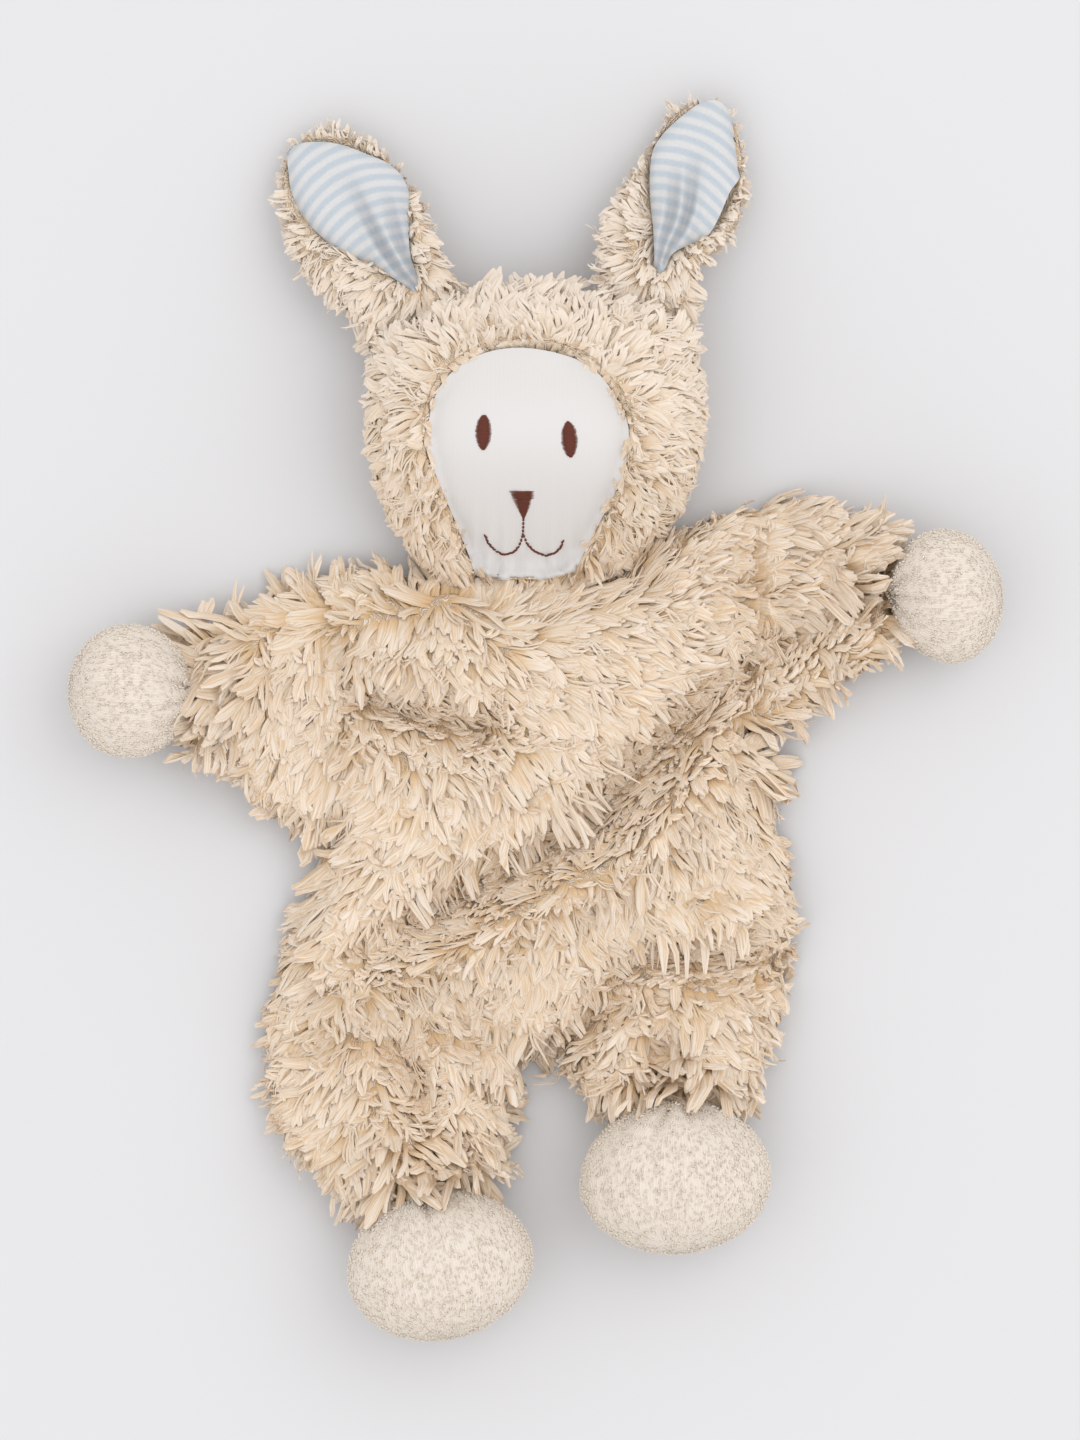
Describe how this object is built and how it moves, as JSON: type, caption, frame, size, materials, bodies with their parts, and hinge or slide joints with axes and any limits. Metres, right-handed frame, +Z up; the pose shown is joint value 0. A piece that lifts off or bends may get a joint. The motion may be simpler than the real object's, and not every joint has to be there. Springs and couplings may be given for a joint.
{
  "type": "plush bunny",
  "caption": "Flat plush bunny comforter with a stuffed hooded head, lined ears and stuffed hands and feet on a slack pile body, lying on its back.",
  "frame": {"origin": "under the middle of the bunny, on the surface that it lies on", "axes": "+Z up, out of the face; +Y from the feet to the ears; +X to the viewer's right"},
  "size_m": [0.268, 0.3546, 0.046],
  "materials": {
    "cotton_pile": "long curly undyed cotton pile, matt",
    "terry": "fine looped terry, matt",
    "face_jersey": "smooth white jersey",
    "striped_jersey": "jersey with narrow pale blue and white stripes",
    "embroidery_thread": "brown satin stitch",
    "sewing_thread": "cream thread",
    "stuffing": "white loose fibre"
  },
  "bodies": {
    "torso": {"body_front": "cotton_pile", "body_back": "cotton_pile"},
    "head": {"hood_front": "cotton_pile", "head_back": "cotton_pile", "face_panel": "face_jersey", "head_filling": "stuffing", "eye_left": "embroidery_thread", "eye_right": "embroidery_thread", "nose": "embroidery_thread", "mouth": "embroidery_thread"},
    "arm_left": {"arm_left_front": "cotton_pile", "arm_left_back": "cotton_pile"},
    "hand_left": {"hand_left": "terry", "hand_left_filling": "stuffing", "hand_left_gathering_thread": "sewing_thread"},
    "arm_right": {"arm_right_front": "cotton_pile", "arm_right_back": "cotton_pile"},
    "hand_right": {"hand_right": "terry", "hand_right_filling": "stuffing", "hand_right_gathering_thread": "sewing_thread"},
    "leg_left": {"leg_left_front": "cotton_pile", "leg_left_back": "cotton_pile"},
    "foot_left": {"foot_left": "terry", "foot_left_filling": "stuffing", "foot_left_gathering_thread": "sewing_thread"},
    "leg_right": {"leg_right_front": "cotton_pile", "leg_right_back": "cotton_pile"},
    "foot_right": {"foot_right": "terry", "foot_right_filling": "stuffing", "foot_right_gathering_thread": "sewing_thread"},
    "ear_left": {"ear_left_back": "cotton_pile", "ear_left_lining": "striped_jersey"},
    "ear_right": {"ear_right_back": "cotton_pile", "ear_right_lining": "striped_jersey"}
  },
  "joints": [
    {"name": "neck_nod", "type": "hinge", "parent": "torso", "child": "head", "pos_m": [-0.007, 0.044, 0.008], "axis": [1, 0, 0], "range_deg": [-40, 40]},
    {"name": "arm_left_fold", "type": "hinge", "parent": "torso", "child": "arm_left", "pos_m": [-0.0656, 0.002, 0.006], "axis": [-0.0314, 0.9995, 0], "range_deg": [-60, 100]},
    {"name": "hand_left_swing", "type": "hinge", "parent": "arm_left", "child": "hand_left", "pos_m": [-0.094, 0.00675, 0.009], "axis": [-0.0298, -0.9996, 0], "range_deg": [-45, 45]},
    {"name": "arm_right_fold", "type": "hinge", "parent": "torso", "child": "arm_right", "pos_m": [0.066, 0.02875, 0.006], "axis": [0, -1, 0], "range_deg": [-60, 100]},
    {"name": "hand_right_swing", "type": "hinge", "parent": "arm_right", "child": "hand_right", "pos_m": [0.094, 0.03475, 0.009], "axis": [-0.0639, 0.998, 0], "range_deg": [-45, 45]},
    {"name": "leg_left_fold", "type": "hinge", "parent": "torso", "child": "leg_left", "pos_m": [-0.04225, -0.09775, 0.006], "axis": [-0.9962, -0.0869, 0], "range_deg": [-60, 100]},
    {"name": "foot_left_swing", "type": "hinge", "parent": "leg_left", "child": "foot_left", "pos_m": [-0.036, -0.13, 0.01], "axis": [0.9723, 0.2337, 0], "range_deg": [-45, 45]},
    {"name": "leg_right_fold", "type": "hinge", "parent": "torso", "child": "leg_right", "pos_m": [0.03725, -0.08725, 0.006], "axis": [-0.9862, -0.1656, 0], "range_deg": [-60, 100]},
    {"name": "foot_right_swing", "type": "hinge", "parent": "leg_right", "child": "foot_right", "pos_m": [0.038, -0.10325, 0.01], "axis": [0.9986, 0.052, 0], "range_deg": [-45, 45]},
    {"name": "ear_left_flop", "type": "hinge", "parent": "head", "child": "ear_left", "pos_m": [-0.03765, 0.1174, 0.017], "axis": [0.8824, 0.4706, 0], "range_deg": [-30, 90]},
    {"name": "ear_right_flop", "type": "hinge", "parent": "head", "child": "ear_right", "pos_m": [0.0294, 0.1208, 0.017], "axis": [0.9598, -0.2806, 0], "range_deg": [-30, 90]}
  ]
}
